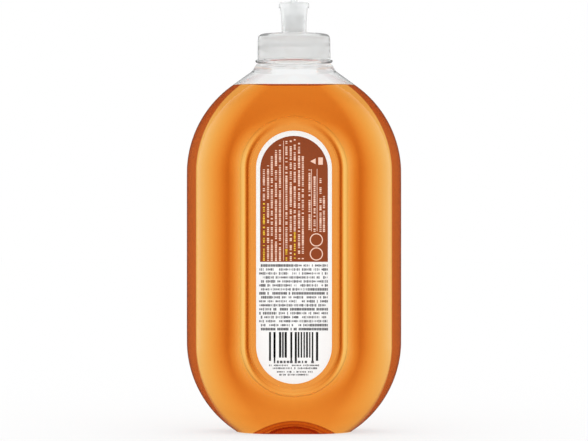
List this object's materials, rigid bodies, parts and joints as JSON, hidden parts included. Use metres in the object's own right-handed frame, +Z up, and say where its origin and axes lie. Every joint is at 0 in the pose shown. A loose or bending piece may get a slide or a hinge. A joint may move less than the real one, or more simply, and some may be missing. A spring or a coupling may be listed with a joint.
{
  "type": "floor cleaner bottle",
  "caption": "Flat clear plastic bottle with round ends and recessed label panels, filled with amber cleaner, closed by a screw cap with a push-pull spout.",
  "frame": {"origin": "middle of the base, on the plane that the bottle stands on", "axes": "+Z up along the neck, X across the broad side, the label faces -Y"},
  "size_m": [0.1202, 0.049, 0.242],
  "materials": {
    "clear_plastic": "gloss",
    "amber_liquid": "gloss",
    "label_film": "satin",
    "seal_foam": "matte",
    "frosted_plastic": "satin"
  },
  "bodies": {
    "bottle": {"bottle": "clear_plastic", "liquid": "amber_liquid", "label": "label_film"},
    "washer": {"seal_washer": "seal_foam"},
    "cap": {"screw_cap": "frosted_plastic"},
    "spout": {"push_pull_spout": "frosted_plastic"}
  },
  "joints": [
    {"name": "cap_lift", "type": "slide", "parent": "bottle", "child": "washer", "axis": [0, 0, 1], "range_m": [0, 0.0064]},
    {"name": "cap_turn", "type": "hinge", "parent": "washer", "child": "cap", "pos_m": [0, 0, 0.214], "axis": [0, 0, 1], "range_deg": [0, 540]},
    {"name": "spout_pull", "type": "slide", "parent": "cap", "child": "spout", "axis": [0, 0, 1], "range_m": [0, 0.005]}
  ],
  "couplings": [
    {"joint": "cap_lift", "follows": "cap_turn", "m_per_rad": 0.00067376}
  ]
}
